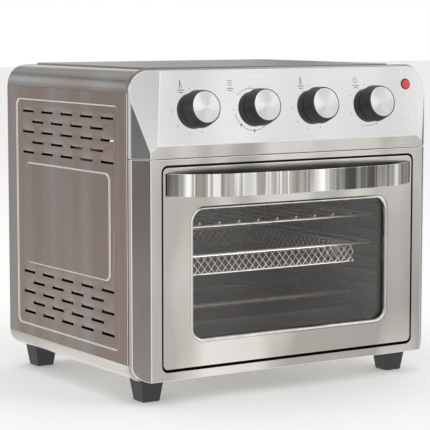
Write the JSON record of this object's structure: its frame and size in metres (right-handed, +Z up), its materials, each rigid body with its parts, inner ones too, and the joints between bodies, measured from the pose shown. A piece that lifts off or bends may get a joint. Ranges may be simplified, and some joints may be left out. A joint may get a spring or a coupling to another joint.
{
  "type": "toaster oven",
  "caption": "Countertop toaster oven with sloping control panel and dials, drop-down glass door with bowed handle, wire rack, frying basket, crumb tray and convection fan.",
  "frame": {"origin": "middle of the overall box, at the underside of the feet", "axes": "+X to the right seen from the front, +Y to the back, +Z up"},
  "size_m": [0.4024, 0.358, 0.363],
  "materials": {
    "steel_side": "brushed, vertical grain",
    "steel_front": "brushed",
    "zinc_sheet": "zinc plated",
    "polished_steel": "mirror polished",
    "chrome_wire": "bright plated",
    "cap_aluminium": "spun",
    "black_plastic": "fine grain",
    "satin_black": "satin",
    "cream_moulding": "moulded",
    "red_lens": "clear gloss",
    "cavity_enamel": "satin enamel",
    "heater_sheath": "oxidised steel",
    "ceramic": "glazed ceramic",
    "wire_insulation": "braided glass fibre",
    "tinted_glass": "smoked",
    "silicone": "matte",
    "tray_steel": "dark steel"
  },
  "bodies": {
    "casing": {"top_cover": "steel_side", "side_panel_left": "steel_side", "side_panel_right": "steel_side", "base_pan": "steel_front", "back_cover": "zinc_sheet", "wall_spacers": "black_plastic", "cord_gland": "black_plastic", "foot_front_left": "black_plastic", "foot_front_right": "black_plastic", "foot_rear_left": "black_plastic", "foot_rear_right": "black_plastic", "case_screws": "zinc_sheet", "front_frame": "steel_front", "control_panel": "steel_front", "switch_bracket": "zinc_sheet", "fry_thermostat": "cream_moulding", "function_switch": "black_plastic", "oven_thermostat": "cream_moulding", "timer": "cream_moulding", "indicator_lens": "red_lens", "indicator_lamp": "black_plastic", "cavity_flange": "cavity_enamel", "cavity_wall_left": "cavity_enamel", "cavity_wall_right": "cavity_enamel", "cavity_floor": "cavity_enamel", "cavity_ceiling": "cavity_enamel", "cavity_back": "cavity_enamel", "upper_heaters": "heater_sheath", "lower_heaters": "heater_sheath", "heater_insulators": "ceramic", "fan_guard": "cavity_enamel", "fan_motor": "zinc_sheet", "heat_shield": "zinc_sheet", "hinge_brackets": "zinc_sheet", "door_springs": "zinc_sheet", "wiring_loom": "wire_insulation"},
    "door": {"door_skin": "steel_front", "door_inner_frame": "cavity_enamel", "door_glass": "tinted_glass", "glass_gasket": "silicone", "handle_plate": "polished_steel", "handle_core": "black_plastic", "hinge_pins": "zinc_sheet", "door_stays": "zinc_sheet"},
    "fry_control": {"fry_dial": "satin_black", "fry_dial_cap": "cap_aluminium", "fry_spindle": "zinc_sheet"},
    "function_control": {"function_dial": "satin_black", "function_dial_cap": "cap_aluminium", "function_spindle": "zinc_sheet"},
    "oven_control": {"oven_dial": "satin_black", "oven_dial_cap": "cap_aluminium", "oven_spindle": "zinc_sheet"},
    "timer_control": {"timer_dial": "satin_black", "timer_dial_cap": "cap_aluminium", "timer_spindle": "zinc_sheet"},
    "fan": {"fan_wheel": "zinc_sheet"},
    "rack": {"wire_rack": "chrome_wire"},
    "basket": {"fry_basket": "chrome_wire"},
    "tray": {"crumb_tray": "tray_steel"}
  },
  "joints": [
    {"name": "door_hinge", "type": "hinge", "parent": "casing", "child": "door", "pos_m": [0, -0.131, 0.0492], "axis": [1, 0, 0], "range_deg": [0, 90]},
    {"name": "fry_knob", "type": "hinge", "parent": "casing", "child": "fry_control", "pos_m": [-0.12855, -0.13072, 0.31637], "axis": [0, 0.9799, -0.1995], "range_deg": [0, 270]},
    {"name": "function_knob", "type": "hinge", "parent": "casing", "child": "function_control", "pos_m": [-0.04985, -0.13072, 0.31637], "axis": [0, 0.9799, -0.1995], "range_deg": [0, 180]},
    {"name": "oven_knob", "type": "hinge", "parent": "casing", "child": "oven_control", "pos_m": [0.02885, -0.13072, 0.31637], "axis": [0, 0.9799, -0.1995], "range_deg": [0, 270]},
    {"name": "timer_knob", "type": "hinge", "parent": "casing", "child": "timer_control", "pos_m": [0.10755, -0.13072, 0.31637], "axis": [0, 0.9799, -0.1995], "range_deg": [0, 300]},
    {"name": "fan_spin", "type": "hinge", "parent": "casing", "child": "fan", "pos_m": [0, 0.01573, 0.242], "axis": [0, 0, 1], "continuous": true},
    {"name": "wire_rack_slide", "type": "slide", "parent": "casing", "child": "rack", "axis": [0, -1, 0], "range_m": [0, 0.14]},
    {"name": "basket_slide", "type": "slide", "parent": "casing", "child": "basket", "axis": [0, -1, 0], "range_m": [0, 0.13]},
    {"name": "crumb_tray_slide", "type": "slide", "parent": "casing", "child": "tray", "axis": [0, -1, 0], "range_m": [0, 0.03]}
  ],
  "couplings": [
    {"joint": "wire_rack_slide", "follows": "door_hinge", "m_per_rad": 0.0891},
    {"joint": "basket_slide", "follows": "door_hinge", "m_per_rad": 0.0828},
    {"joint": "crumb_tray_slide", "follows": "door_hinge", "m_per_rad": 0.0191}
  ]
}
